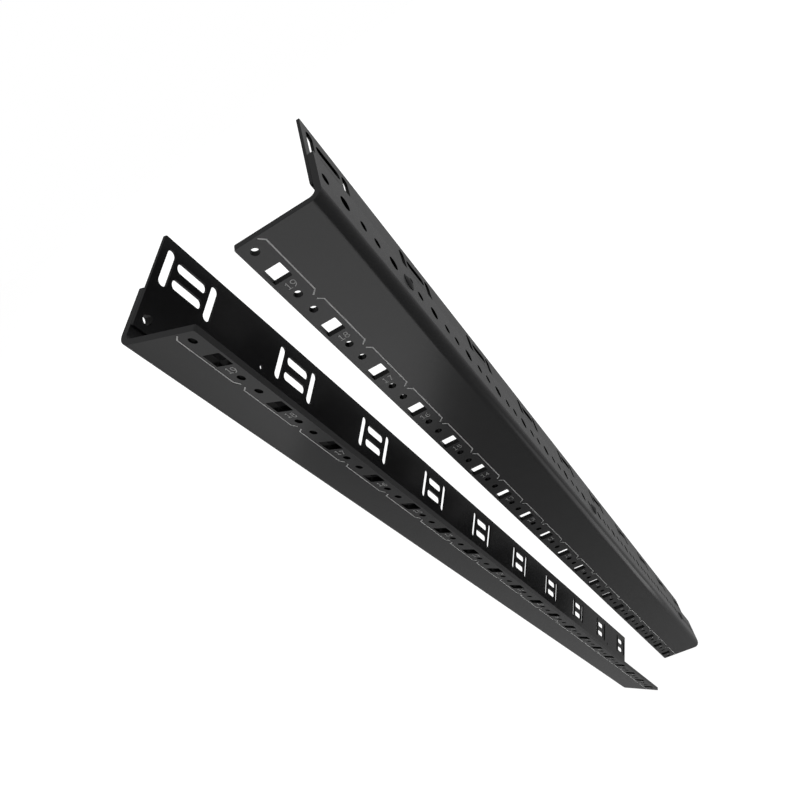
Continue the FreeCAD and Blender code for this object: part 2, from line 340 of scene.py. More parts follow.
def wall_quads(front, rings, back):
    """Faces down a wall, from a border at the front by its rings to the same border at the back."""
    chain = np.concatenate([front[..., None, :], rings, back[..., None, :]], axis=-2)
    after = np.roll(chain, -1, axis=-1)
    corners = [chain[..., :-1, :], after[..., :-1, :], after[..., 1:, :], chain[..., 1:, :]]
    return np.stack(corners, axis=-1).reshape(-1, 4)


def perforated_sheet(across, along, holes, thickness, rim, corner):
    """Closed flat sheet with holes and rounded edges, by across, along and depth from the front.

    Front and back are the same grid. A hole takes a block out of it, and walls lead from the block's
    border at the front to its border at the back. The outer edge does so round the whole grid, facing
    the other way. A point's edge value is the share of its normal that lies in the sheet, less than
    nought in a hole, where the coat uses it to paint shade on the walls.
    """
    flat, heading = rounded_grid(across, along, rim, corner)
    columns, rows = len(across), len(along)
    count = columns * rows
    front = np.arange(count).reshape(columns, rows)
    flat = flat.reshape(-1, 2)
    facing = np.tile([0.0, 0.0, 1.0], (count, 1))
    points = [np.insert(flat, 2, 0.0, axis=1), np.insert(flat, 2, thickness, axis=1)]
    normals = [-facing, facing]
    edges = [np.zeros(2 * count)]

    profile = rim_profile(thickness, rim)
    solid = np.ones((columns - 1, rows - 1), bool)
    walls = []
    for hole in holes:
        first_i, first_j, steps = hole[:3]
        take_i = first_i + np.arange(steps[0])[None, :, None]
        take_j = first_j[:, None, None] + np.arange(steps[1])[None, None, :]
        solid[take_i, take_j] = False
        ring_i, ring_j, _ = block_ring(*steps)
        border = front[first_i + ring_i, first_j[:, None] + ring_j]
        walls.append((hole_walls(hole, profile), border, [0, 1, 2, 3]))
    around_i, around_j, _ = block_ring(columns - 1, rows - 1)
    border = front[around_i, around_j]
    edge = outer_walls(flat[border], heading[around_i, around_j], profile, rim)
    walls.append((edge, border, [0, 3, 2, 1]))

    quads = []
    made = 2 * count
    for (wall_points, wall_normals, wall_edges), border, order in walls:
        rings = made + np.arange(wall_edges.size).reshape(wall_edges.shape)
        made += rings.size
        points.append(wall_points.reshape(-1, 3))
        normals.append(wall_normals.reshape(-1, 3))
        edges.append(wall_edges.ravel())
        quads.append(wall_quads(border, rings, border + count)[:, order])

    corners = [front[:-1, :-1], front[1:, :-1], front[1:, 1:], front[:-1, 1:]]
    squares = np.stack(corners, axis=-1)[solid]
    quads += [squares, squares[:, ::-1] + count]
    used, quads = np.unique(np.concatenate(quads), return_inverse=True)
    points, normals, edges = (np.concatenate(group)[used] for group in (points, normals, edges))
    return points, normals, edges, quads.reshape(-1, 4)


def sheet_piece(name, hand, flat, shape, material, node):
    """Flat sheet carried into the row frame by its shape, with its own normals and an edge attribute."""
    points, normals, edges, quads = flat
    places, axes = shape(points)
    turned = np.einsum("nk,nkc->nc", normals, axes)
    if hand == "left":
        quads = quads[:, ::-1]
    piece = new_piece(name, placed(places, hand), quads.tolist(), material, node)
    piece.data.normals_split_custom_set_from_vertices(placed(turned, hand, 0.0).tolist())
    edge = piece.data.attributes.new("edge", "FLOAT", "POINT")
    edge.data.foreach_set("value", edges.astype(np.float32))
    return piece


def rail_shape(sizes):
    """Function that folds the flat rail: face along x, quarter turn of the bend, flange along y."""
    radius = sizes.bend_radius + sizes.rail_sheet
    start = sizes.face_width - radius

    def fold(points):
        across, along, depth = points.T
        angle = np.clip((across - start) / radius, 0.0, np.pi / 2)
        past = np.maximum(across - start - radius * np.pi / 2, 0.0)
        sine, cosine, nought = np.sin(angle), np.cos(angle), 0.0 * angle
        inner = radius - depth
        places = np.stack([
            np.minimum(across, start) + inner * sine,
            radius - inner * cosine + past,
            along,
        ], axis=-1)
        axes = np.stack([
            np.stack([cosine, sine, nought], axis=-1),
            np.stack([nought, nought, nought + 1.0], axis=-1),
            np.stack([-sine, cosine, nought], axis=-1),
        ], axis=1)
        return places, axes

    return fold


def strip_shape(sizes):
    """Function that stands the flat strip in the flange: across along y, depth to the free edge."""
    outside = sizes.face_width - sizes.rail_sheet

    def stand(points):
        across, along, depth = points.T
        places = np.stack([outside - depth, sizes.strip_front + across, along], axis=-1)
        axes = np.array([[0.0, 1.0, 0.0], [0.0, 0.0, 1.0], [-1.0, 0.0, 0.0]])
        return places, np.tile(axes, (len(points), 1, 1))

    return stand


def unit_holes(sizes, bands, first_i, line, straight, radius):
    """Holes of one kind in the given bands of every unit, centred on one line of the sheet."""
    heights = np.array([sizes.hole_inset, sizes.unit_height / 2, sizes.unit_height - sizes.hole_inset])
    unit, band = np.meshgrid(np.arange(sizes.units), np.array(bands), indexing="ij")
    unit, band = unit.ravel(), band.ravel()
    along = unit * sizes.unit_height + heights[band]
    centres = np.stack([np.full(len(along), line), along], axis=-1)
    first_j = ARC + BLOCK * (BANDS * unit + band)
    return first_i, first_j, (BLOCK, BLOCK), centres, (straight, straight), radius


def flat_rail(sizes):
    """Rail before bending: face with its hole row, bend, flange with its hole row."""
    rim, corner = sizes.rail_rim, sizes.corner_round
    radius = sizes.bend_radius + sizes.rail_sheet
    bend_start = sizes.face_width - radius
    bend_end = bend_start + radius * np.pi / 2
    side_line = bend_end + sizes.side_line - radius
    rear = bend_end + sizes.side_depth - radius
    face_block = 2 * sizes.face_line - corner
    bounds = np.array([
        rim, corner, face_block, bend_start, bend_end, side_line - FLANGE_BLOCK,
        side_line + FLANGE_BLOCK, rear - corner, rear - rim,
    ])
    steps = [ARC, BLOCK, FACE, BEND, PLAIN, BLOCK, PLAIN, ARC]
    across = grid_lines(bounds, steps)
    face_i, side_i = sum(steps[:1]), sum(steps[:5])
    middle = (sizes.hole_inset + sizes.unit_height / 2) / 2
    along = unit_lines(sizes, middle, sizes.unit_height - middle, rim)
    straight = sizes.square_hole / 2 - sizes.square_corner
    holes = [
        unit_holes(sizes, OUTER, face_i, sizes.face_line, 0.0, sizes.face_hole / 2),
        unit_holes(sizes, MIDDLE, face_i, sizes.face_line, straight, sizes.square_corner),
        unit_holes(sizes, OUTER, side_i, side_line, 0.0, sizes.side_hole / 2),
        unit_holes(sizes, MIDDLE, side_i, side_line, 0.0, sizes.side_hole_large / 2),
    ]
    return perforated_sheet(across, along, holes, sizes.rail_sheet, rim, corner)


def rivet_heights(sizes):
    """Heights of the riveted holes, by the name of the rivet."""
    heights = {}
    for name, (units, is_upper) in RIVETED.items():
        inside = sizes.unit_height - sizes.hole_inset if is_upper else sizes.hole_inset
        heights[name] = units * sizes.unit_height + inside
    return heights


def single_holes(sizes, first_i, line, heights, radius, first_cut):
    """Round holes of the strip at single heights on one line."""
    heights = np.array(heights)
    unit = np.floor(heights / sizes.unit_height).astype(int)
    band = np.where(heights - unit * sizes.unit_height < first_cut, *OUTER)
    centres = np.stack([np.full(len(heights), line), heights], axis=-1)
    first_j = ARC + BLOCK * (BANDS * unit + band)
    return first_i, first_j, (BLOCK, BLOCK), centres, (0.0, 0.0), radius


def flat_strip(sizes):
    """Slotted strip: hole row in front, groups of four slots and two hanging holes."""
    rim, corner = sizes.strip_rim, sizes.corner_round
    row = sizes.side_line - sizes.strip_front
    slot_line = sizes.strip_width - sizes.slot_margin - sizes.slot_length / 2
    hanging = sizes.strip_width - sizes.hanging_margin
    block = sizes.slot_length / 2 + SLOT_ROOM
    bounds = np.array([
        rim, corner, row - ROW_BLOCK, row + ROW_BLOCK, hanging - HANGING_BLOCK, slot_line - block,
        slot_line, slot_line + block, sizes.strip_width - corner, sizes.strip_width - rim,
    ])
    steps = [ARC, MARGIN, BLOCK, PLAIN, BLOCK // 2, BLOCK, BLOCK, MARGIN, ARC]
    across = grid_lines(bounds, steps)
    row_i, hanging_i, slot_i = sum(steps[:2]), sum(steps[:4]), sum(steps[:5])
    half_gap = (sizes.slot_length + sizes.slot_span - sizes.slot_width) / 4
    middle = sizes.unit_height / 2
    lower, upper = middle - half_gap, middle + half_gap
    along = unit_lines(sizes, lower, upper, rim)

    radius = sizes.slot_width / 2
    straight = sizes.slot_length / 2 - radius
    groups = np.arange(0, sizes.units, SLOT_UNITS)
    middles = groups * sizes.unit_height + middle
    first = ARC + BLOCK * BANDS * groups
    holes = []
    for side, band in zip((-1, 1), OUTER):
        lying = np.stack([0 * middles + slot_line, middles + side * sizes.slot_span / 2], axis=-1)
        holes.append((slot_i, first + band * BLOCK, (2 * BLOCK, BLOCK), lying, (straight, 0.0), radius))
        upright = np.stack([0 * middles + slot_line + side * sizes.slot_pair / 2, middles], axis=-1)
        upright_i = slot_i + (BLOCK if side > 0 else 0)
        holes.append((upright_i, first + BLOCK, (BLOCK, BLOCK), upright, (0.0, straight), radius))
    riveted = rivet_heights(sizes)
    total = sizes.units * sizes.unit_height
    row_heights = [sizes.hole_inset, total - sizes.hole_inset, *riveted.values()]
    holes.append(single_holes(sizes, row_i, row, row_heights, sizes.side_hole / 2, lower))
    hung = [riveted["low"], riveted["high"]]
    holes.append(single_holes(sizes, hanging_i, hanging, hung, sizes.hanging_hole / 2, lower))
    return perforated_sheet(across, along, holes, sizes.strip_sheet, rim, corner)


def turned_solid(profile, sides):
    """Profile of axial place and radius carried round its axis, closed by fans at its two poles."""
    angles = 2 * np.pi * np.arange(sides) / sides
    axial, radius = profile[1:-1].T
    rings = np.stack([
        np.repeat(axial[:, None], sides, axis=1),
        radius[:, None] * np.cos(angles),
        radius[:, None] * np.sin(angles),
    ], axis=-1).reshape(-1, 3)
    poles = np.array([[profile[0, 0], 0.0, 0.0], [profile[-1, 0], 0.0, 0.0]])
    index = np.arange(len(axial) * sides).reshape(len(axial), sides)
    after = np.roll(index, -1, axis=1)
    quads = np.stack([index[:-1], index[1:], after[1:], after[:-1]], axis=-1).reshape(-1, 4)
    first = np.full(sides, index.size)
    caps = np.concatenate([
        np.stack([first, index[0], after[0]], axis=-1),
        np.stack([first + 1, after[-1], index[-1]], axis=-1),
    ])
    return np.concatenate([rings, poles]), quads, caps


def rivet_profile(sizes):
    """Blind rivet from its head inwards: mandrel end in its bore, spherical cap, shank, formed head.

    The cap's sphere has as its radius half the sum of the rise and of the head's radius squared over
    the rise. The formed head is half an ellipse. Rims are drawn in by shares of the rim's radius.
    """
    grip = sizes.rail_sheet + sizes.strip_sheet
    shank = sizes.side_hole / 2 - sizes.rivet_clearance
    rim = sizes.rivet_rim
    head, formed = sizes.rivet_head / 2, sizes.formed_head / 2
    bore, mandrel = sizes.mandrel_bore / 2, sizes.mandrel / 2
    top = sizes.rivet_head_height
    rise = top - rim
    sphere = (rise + head * head / rise) / 2
    turn = np.linspace(np.arcsin((bore + rim / 2) / sphere), np.arcsin(head / sphere), ARC_POINTS)
    cap = np.stack([top - sphere * (1 - np.cos(turn)), sphere * np.sin(turn)], axis=-1)
    stub, floor = sizes.mandrel_height * rise, sizes.bore_floor * rise
    centre = np.array([
        [stub, 0.0], [stub, mandrel - rim], [stub - rim / 2, mandrel], [floor, mandrel], [floor, bore],
        [cap[0, 0] - rim / 2, bore],
    ])
    middle = np.array([
        [rim / 3, head - rim / 6], [0.0, head - rim / 2], [0.0, shank], [-grip, shank],
        [-grip, formed - rim / 2], [-grip - rim / 3, formed - rim / 6],
    ])
    fall = np.linspace(np.pi / 2, 0.0, ARC_POINTS)
    tail = np.stack([
        -grip - rim - (sizes.formed_head_height - rim) * np.cos(fall), formed * np.sin(fall),
    ], axis=-1)
    return np.concatenate([centre, cap, middle, tail])


# Features to the metre and detail of the noises: the coat's clouds, grain and orange peel, and the
# cover of the ink. All have the same roughness.
CLOUDS = (38.0, 3.0)
GRAIN = (2600.0, 2.0)
PEEL = (820.0, 2.0)
COVER = (1900.0, 3.0)
NOISE_ROUGHNESS = 0.55

# Shares of the coat's colour: in its clouds, on its grain, on outer edges and on the walls of the
# holes, where the dark share is painted shade.
CLOUD_TINTS = (0.9, 1.1)
GRAIN_TINT = 1.5
EDGE_TINT = 1.3
# Painted shade: the walls of the holes are darkened to a tenth of the coat's colour.
HOLE_SHADE_TINT = 0.1

# How far the grain and the outer edges take the colour over, and the roughness under the gloss.
GRAIN_SHARE = 0.35
EDGE_SHARE = 0.5
COAT_ROUGHNESS = (0.34, 0.50)

# Shares of the ink's colour and its roughness, from thin to full cover.
INK_TINTS = (0.85, 1.1)
INK_ROUGHNESS = (0.6, 0.4)

# Height of the fine bumps, and their strength on the coat and on the ink.
BUMP_HEIGHT = 0.02 * MM
COAT_BUMP = 0.3
INK_BUMP = 0.25

# Shifts of the noises, so that no two finishes have the same pattern.
RAIL_SHIFT = (0.0, 0.0, 0.0)
STRIP_SHIFT = (3.0, 1.0, 2.0)
RIVET_SHIFT = (5.0, 4.0, 1.0)
INK_SHIFT = (0.3, 0.1, 0.2)


def socket_value(node, values):
    """Sets input sockets of a node by name."""
    for name, value in values.items():
        node.inputs[name].default_value = value


def add_node(tree, kind, **values):
    """New shader node with its input sockets set by name, underscores for blanks."""
    node = tree.nodes.new(kind)
    socket_value(node, {name.replace("_", " "): value for name, value in values.items()})
    return node


def speckle(tree, scale, detail, shift):
    """Noise on object coordinates at a number of features to the metre."""
    place = tree.nodes.new("ShaderNodeTexCoord")
    moved = add_node(tree, "ShaderNodeMapping", Location=shift)
    noise = add_node(
        tree, "ShaderNodeTexNoise", Scale=scale, Detail=detail, Roughness=NOISE_ROUGHNESS)
    tree.links.new(place.outputs["Object"], moved.inputs["Vector"])
    tree.links.new(moved.outputs["Vector"], noise.inputs["Vector"])
    return noise.outputs["Fac"]


def spread(tree, value, low, high, start=0.3, end=0.7):
    """Map of a value onto the range from low to high, by default of a noise's middle range."""
    node = add_node(tree, "ShaderNodeMapRange", From_Min=start, From_Max=end, To_Min=low, To_Max=high)
    tree.links.new(value, node.inputs["Value"])
    return node.outputs["Result"]


def blend_colours(tree, share, first, second):
    """Mix of two colours, each a value or an output, by a share."""
    node = tree.nodes.new("ShaderNodeMix")
    node.data_type = "RGBA"
    tree.links.new(share, node.inputs["Factor"])
    for name, value in (("A", first), ("B", second)):
        socket = next(item for item in node.inputs if item.name == name and item.type == "RGBA")
        if isinstance(value, bpy.types.NodeSocket):
            tree.links.new(value, socket)
        else:
            socket.default_value = (*value, 1.0)
    return next(item for item in node.outputs if item.type == "RGBA")


def shaded(name):
    """New material with its node tree and its principled shader."""
    material = bpy.data.materials.new(name)
    material.use_nodes = True
    tree = material.node_tree
    shader = next(node for node in tree.nodes if node.type == "BSDF_PRINCIPLED")
    return material, tree, shader


def add_gloss(shader, gloss, roughness):
    """Reflection from the smooth top of a finish alone."""
    socket_value(
        shader, {"Specular IOR Level": 0.0, "Coat Weight": gloss, "Coat Roughness": roughness})


def add_bump(tree, shader, height, strength, sockets):
    """Fine bumps from a height, on the named normals of a shader."""
    bump = add_node(tree, "ShaderNodeBump", Strength=strength, Distance=BUMP_HEIGHT)
    tree.links.new(height, bump.inputs["Height"])
    for socket in sockets:
        tree.links.new(bump.outputs["Normal"], shader.inputs[socket])


def powder_coat(name, base, gloss, roughness, shift, edges):
    """Black powder coat: clouded colour with fine grain and an orange-peel bump.

    On a sheet with edge values it is paler along the outer edges, and darker on the walls of the
    holes as painted shade.
    """
    material, tree, shader = shaded(name)
    base = np.array(base)
    cloud = spread(tree, speckle(tree, *CLOUDS, shift), 0.0, 1.0)
    grain = speckle(tree, *GRAIN, shift)
    colours = blend_colours(tree, cloud, *(base * tint for tint in CLOUD_TINTS))
    colours = blend_colours(tree, spread(tree, grain, 0.0, GRAIN_SHARE), colours, base * GRAIN_TINT)
    if edges:
        edge = tree.nodes.new("ShaderNodeAttribute")
        edge.attribute_name = "edge"
        outer = spread(tree, edge.outputs["Fac"], 0.0, EDGE_SHARE, 0.0, 1.0)
        colours = blend_colours(tree, outer, colours, base * EDGE_TINT)
        # Painted shade on the walls of the holes, in place of the shade inside them.
        painted_hole_shade = spread(tree, edge.outputs["Fac"], 0.0, 1.0, 0.0, -1.0)
        colours = blend_colours(tree, painted_hole_shade, colours, base * HOLE_SHADE_TINT)
    tree.links.new(colours, shader.inputs["Base Color"])
    tree.links.new(spread(tree, grain, *COAT_ROUGHNESS), shader.inputs["Roughness"])
    add_gloss(shader, gloss, roughness)
    add_bump(tree, shader, speckle(tree, *PEEL, shift), COAT_BUMP, ("Normal", "Coat Normal"))
    return material


def printed_ink(name, base, gloss, roughness):
    """Screen-printed ink: slightly uneven cover over the coat's grain."""
    material, tree, shader = shaded(name)
    base = np.array(base)
    cover = spread(tree, speckle(tree, *COVER, INK_SHIFT), 0.0, 1.0)
    colours = blend_colours(tree, cover, *(base * tint for tint in INK_TINTS))
    tree.links.new(colours, shader.inputs["Base Color"])
    tree.links.new(spread(tree, cover, *INK_ROUGHNESS, 0.0, 1.0), shader.inputs["Roughness"])
    add_gloss(shader, gloss, roughness)
    add_bump(tree, shader, cover, INK_BUMP, ("Normal",))
    return material


def ribbon(path, half, sunk, proud, closed):
    """Rectangular section carried along a flat path of across and height, on the mitre of each point.

    A point's mitre is the mean of its neighbouring side directions, drawn out so that both stretches
    keep their width.
    """
    run = np.diff(np.concatenate([path, path[:1]]) if closed else path, axis=0)
    run /= np.linalg.norm(run, axis=1, keepdims=True)
    side = np.stack([-run[:, 1], run[:, 0]], axis=-1)
    if closed:
        mitre = side + np.roll(side, 1, axis=0)
    else:
        mitre = np.concatenate([side[:1], side]) + np.concatenate([side, side[-1:]])
    mitre *= (2 / (mitre * mitre).sum(axis=1))[:, None]
    section = np.array([[-half, sunk], [half, sunk], [half, -proud], [-half, -proud]])
    across = path[:, None] + mitre[:, None] * section[None, :, :1]
    depth = np.broadcast_to(section[:, 1], across.shape[:2])
    points = np.stack([across[..., 0], depth, across[..., 1]], axis=-1).reshape(-1, 3)
    index = np.arange(len(points)).reshape(-1, 4)
    start, end = (index, np.roll(index, -1, axis=0)) if closed else (index[:-1], index[1:])
    start_next, end_next = np.roll(start, -1, axis=1), np.roll(end, -1, axis=1)
    quads = np.stack([start, start_next, end_next, end], axis=-1).reshape(-1, 4)
    if not closed:
        quads = np.concatenate([quads, index[:1, ::-1], index[-1:]])
    return points, quads


def print_piece(name, hand, ribbons, ink):
    """One printed piece on a rail's face, from ribbons in the rail's axes."""
    starts = np.cumsum([0] + [len(points) for points, _ in ribbons])
    points = np.concatenate([points for points, _ in ribbons])
    quads = np.concatenate([quads + start for start, (_, quads) in zip(starts, ribbons)])
    if hand == "left":
        quads = quads[:, ::-1]
    piece = new_piece(name, placed(points, hand), quads.tolist(), ink)
    piece.data.set_sharp_from_angle(angle=PRINT_CREASE)
    return piece


def arc(x, y, across, up, start, end, steps=10):
    """Points of an elliptic arc about a centre, from one angle to another in degrees."""
    angle = np.radians(np.linspace(start, end, steps + 1))
    return np.stack([x + across * np.cos(angle), y + up * np.sin(angle)], axis=-1)


def joined(*stretches):
    """Path through single points and arcs in turn."""
    return np.concatenate([np.reshape(stretch, (-1, 2)) for stretch in stretches])


def figures():
    """Single-line figures of height one: the strokes of each digit, as a path and whether it closes."""
    bowl = arc(0.3, 0.29, 0.27, 0.27, 0, 360, 16)[:-1]
    stem = arc(0.57, 0.29, 0.54, 0.67, 100, 180)
    six = [(bowl, True), (stem, False)]
    return {
        "0": [(arc(0.3, 0.5, 0.27, 0.46, 0, 360, 20)[:-1], True)],
        "1": [
            (joined((0.08, 0.78), (0.3, 0.96), (0.3, 0.04)), False),
            (joined((0.04, 0.06), (0.56, 0.06)), False),
        ],
        "2": [(joined(arc(0.3, 0.69, 0.26, 0.27, 165, -35), (0.05, 0.06), (0.57, 0.06)), False)],
        "3": [(joined(
            arc(0.28, 0.73, 0.23, 0.23, 150, -70), arc(0.28, 0.27, 0.27, 0.24, 70, -150)), False)],
        "4": [(joined((0.42, 0.03), (0.42, 0.95), (0.05, 0.32), (0.58, 0.32)), False)],
        "5": [(joined(
            (0.52, 0.94), (0.12, 0.94), (0.09, 0.52), arc(0.28, 0.32, 0.28, 0.28, 115, -145)), False)],
        "6": six,
        "7": [(joined((0.04, 0.94), (0.56, 0.94), (0.22, 0.03)), False)],
        "8": [
            (arc(0.3, 0.74, 0.22, 0.21, 0, 360, 14)[:-1], True),
            (arc(0.3, 0.28, 0.27, 0.25, 0, 360, 16)[:-1], True),
        ],
        "9": [(FIGURE - path, closed) for path, closed in six],
    }


def bracket_ribbons(sizes, shift):
    """Printed bracket of every unit: a tick, a line along the unit and a tick."""
    near, far = sizes.bracket_near - shift, sizes.bracket_far - shift
    drop = sizes.bracket_tick
    top, bottom = sizes.unit_height - sizes.bracket_inset, sizes.bracket_inset
    path = np.array([[near, top], [far, top - drop], [far, bottom + drop], [near, bottom]])
    lift = np.arange(sizes.units)[:, None] * np.array([0.0, sizes.unit_height])
    half, sunk, proud = sizes.bracket_line / 2, sizes.print_sunk, sizes.print_height
    return [ribbon(path + step, half, sunk, proud, False) for step in lift]


def number_ribbons(sizes, line, way):
    """Printed number of every unit, centred on a line of the face and read in one way across it."""
    strokes = figures()
    pitch = np.array([sizes.digit_pitch, 0.0])
    scale = sizes.digit_height * np.array([way, 1.0])
    ribbons = []
    for unit in range(sizes.units):
        text = str(unit + 1)
        middle = (FIGURE + pitch * (len(text) - 1)) / 2
        centre = np.array([line, (unit + 1) * sizes.unit_height - sizes.digit_drop])
        for place, digit in enumerate(text):
            for order, (path, closed) in enumerate(strokes[digit]):
                flat = centre + (path + pitch * place - middle) * scale
                proud = sizes.print_height * (1 - STROKE_STEP * order)
                ribbons.append(ribbon(flat, sizes.digit_line / 2, sizes.print_sunk, proud, closed))
    return ribbons


# The floor: half its side, its colour to the lamps, and the glow and colour that the camera sees.
FLOOR_HALF = 1.8
FLOOR_COLOUR = (0.8, 0.8, 0.8, 1.0)
FLOOR_GLOW = 0.965
FLOOR_SEEN = (0.1, 0.1, 0.1, 1.0)

# The surround: its colour, its strength on the rails and its strength to the camera.
SURROUND_COLOUR = (1.0, 1.0, 1.0, 1.0)
SURROUND_LIT = 0.02
SURROUND_SEEN = 1.0

# The place that all lamps face, the sides of a lamp, and the upward share from which an aim is steep.
LAMP_TARGET = np.array([0.0, 0.0, 0.42])
LAMP_SIZE = (0.8, 0.8)
STEEP = 0.99


def seen_white(tree, lit, white):
    """Mix of a lit shader and plain white, which camera, glossy and transmission rays see."""
    path = tree.nodes.new("ShaderNodeLightPath")
    rays = [path.outputs[name] for name in ("Is Camera Ray", "Is Glossy Ray", "Is Transmission Ray")]
    total = rays[0]
    for ray in rays[1:]:
        add = tree.nodes.new("ShaderNodeMath")
        add.operation = "MAXIMUM"
        tree.links.new(total, add.inputs[0])
        tree.links.new(ray, add.inputs[1])
        total = add.outputs["Value"]
    mix = tree.nodes.new("ShaderNodeMixShader")
    tree.links.new(total, mix.inputs["Fac"])
    tree.links.new(lit, mix.inputs[1])
    tree.links.new(white, mix.inputs[2])
    return mix.outputs["Shader"]


def make_floor(scene):
    """Pale floor under the rails, white to the camera where nothing shades it."""
    corners = FLOOR_HALF * np.array([[-1, -1, 0], [1, -1, 0], [1, 1, 0], [-1, 1, 0]])
    mesh = bpy.data.meshes.new("floor")
    mesh.from_pydata(corners.tolist(), [], [(0, 1, 2, 3)])
    material = bpy.data.materials.new("floor_white")
    material.use_nodes = True
    tree = material.node_tree
    tree.nodes.clear()
    end = tree.nodes.new("ShaderNodeOutputMaterial")
    lit = add_node(tree, "ShaderNodeBsdfDiffuse", Color=FLOOR_COLOUR)
    glow = add_node(tree, "ShaderNodeEmission", Strength=FLOOR_GLOW)
    both = add_node(tree, "ShaderNodeAddShader")
    shaded_part = add_node(tree, "ShaderNodeBsdfDiffuse", Color=FLOOR_SEEN)
    tree.links.new(glow.outputs["Emission"], both.inputs[0])
    tree.links.new(shaded_part.outputs["BSDF"], both.inputs[1])
    surface = seen_white(tree, lit.outputs["BSDF"], both.outputs["Shader"])
    tree.links.new(surface, end.inputs["Surface"])
    mesh.materials.append(material)
    floor = bpy.data.objects.new("floor", mesh)
    scene.collection.objects.link(floor)


def make_world(scene):
    """Even studio surround, white to the camera."""
    world = bpy.data.worlds.new("studio")
    world.use_nodes = True
    tree = world.node_tree
    tree.nodes.clear()
    end = tree.nodes.new("ShaderNodeOutputWorld")
    soft = add_node(tree, "ShaderNodeBackground", Color=SURROUND_COLOUR, Strength=SURROUND_LIT)
    white = add_node(tree, "ShaderNodeBackground", Color=SURROUND_COLOUR, Strength=SURROUND_SEEN)
    surface = seen_white(tree, soft.outputs["Background"], white.outputs["Background"])
    tree.links.new(surface, end.inputs["Surface"])
    scene.world = world


def aimed(place, back, roll):
    """Matrix of a lamp or camera at a place, with its back to a direction and rolled about it.

    Its top is upwards before the roll, or to the rear where its aim is steep.
    """
    back = np.array(back, float)
    back /= np.linalg.norm(back)
    top = (0.0, 1.0, 0.0) if abs(back[2]) > STEEP else (0.0, 0.0, 1.0)
    right = np.cross(top, back)
    right /= np.linalg.norm(right)
    right = right * np.cos(roll) + np.cross(back, right) * np.sin(roll)
    axes = np.stack([right, np.cross(back, right), back], axis=-1)
    return Matrix.Translation(place) @ Matrix(axes.tolist()).to_4x4()


def add_lamp(scene, name, place, facing, size, watts, roll=0.0):
    """Soft rectangular lamp that shines along a direction, rolled about it."""
    light = bpy.data.lights.new(name, "AREA")
    light.shape = "RECTANGLE"
    light.size, light.size_y = size
    light.energy = watts
    lamp = bpy.data.objects.new(name, light)
    lamp.matrix_world = aimed(place, -np.array(facing), roll)
    lamp.visible_camera = False
    scene.collection.objects.link(lamp)
    return lamp


def make_lamps(scene):
    """Soft lamps round the rails, which light the coat, and cards, which only show as its reflections.

    A lamp has its name, place and watts. A card has its name, place, facing, sides, watts and roll.
    """
    lamps = (
        ("right_lamp", (2.0, 0.0, 0.5), 16.5),
        ("rear_right_lamp", (1.4, 1.4, 0.5), 26.7),
        ("rear_lamp", (0.85, 1.81, 0.5), 55.8),
        ("top_lamp", (0.0, -0.3, 2.5), 31.7),
        ("left_lamp", (-1.9, -0.4, 0.5), 9.5),
        ("rear_left_lamp", (-1.6, 1.2, 0.5), 45.0),
    )
    for name, place, watts in lamps:
        lamp = add_lamp(scene, name, place, LAMP_TARGET - np.array(place), LAMP_SIZE, watts)
        lamp.visible_glossy = False
    cards = (
        ("front_card", (-0.175, -0.45, 0.435), (0, 1, 0), (0.55, 0.4), 3.33, np.radians(53.0)),
        ("left_card", (-0.5, -0.29, 0.59), (1, 0, 0), (0.4, 0.6), 1.06, 0.0),
        ("far_floor_card", (0.29, -0.175, 0.012), (0, 0, 1), (0.3, 0.2), 0.335, np.radians(30.7)),
        ("near_floor_card", (0.2, -0.115, 0.012), (0, 0, 1), (0.2, 0.1), 0.21, np.radians(30.7)),
    )
    for card in cards:
        lamp = add_lamp(scene, *card)
        lamp.visible_diffuse = False


def make_camera(scene):
    """Camera above and in front of the near ends."""
    data = bpy.data.cameras.new("camera")
    data.sensor_width = 36.0
    data.lens = 33.332
    data.clip_start = 0.01
    data.clip_end = 50.0
    place = (0.12814, -0.27192, 1.01544)
    azimuth, elevation, roll = np.radians([24.328, 47.866, -46.113])
    level = np.cos(elevation)
    back = (level * np.sin(azimuth), -level * np.cos(azimuth), np.sin(elevation))
    camera = bpy.data.objects.new("camera", data)
    camera.matrix_world = aimed(place, back, roll)
    scene.collection.objects.link(camera)
    scene.camera = camera


class RACK_OT_rails(bpy.types.Operator):
    """Builds both bent rails with their hole rows"""

    bl_idname = "rack.rails"
    bl_label = "Rails"

    def execute(self, context):
        sizes, finish = context.scene.rack_sizes, context.scene.rack_finish
        gloss, roughness = finish.coat_gloss, finish.coat_roughness
        coat = powder_coat("rail_powder_coat", finish.rail_colour, gloss, roughness, RAIL_SHIFT, True)
        flat, shape = flat_rail(sizes), rail_shape(sizes)
        for hand in HANDS:
            node = f"{hand}_rail"
            sheet_piece(f"{node}_sheet", hand, flat, shape, coat, node)
        return {"FINISHED"}


class RACK_OT_strips(bpy.types.Operator):
    """Builds both slotted strips"""

    bl_idname = "rack.strips"
    bl_label = "Slotted strips"

    def execute(self, context):
        sizes, finish = context.scene.rack_sizes, context.scene.rack_finish
        gloss, roughness = finish.coat_gloss, finish.coat_roughness
        # The strips' coat colour is darker than the rails' as painted shade.
        coat = powder_coat(
            "strip_shaded_powder_coat", finish.strip_shaded_colour, gloss, roughness, STRIP_SHIFT, True)
        flat, shape = flat_strip(sizes), strip_shape(sizes)
        for hand in HANDS:
            node = f"{hand}_slotted_strip"
            sheet_piece(f"{node}_sheet", hand, flat, shape, coat, node)
        return {"FINISHED"}


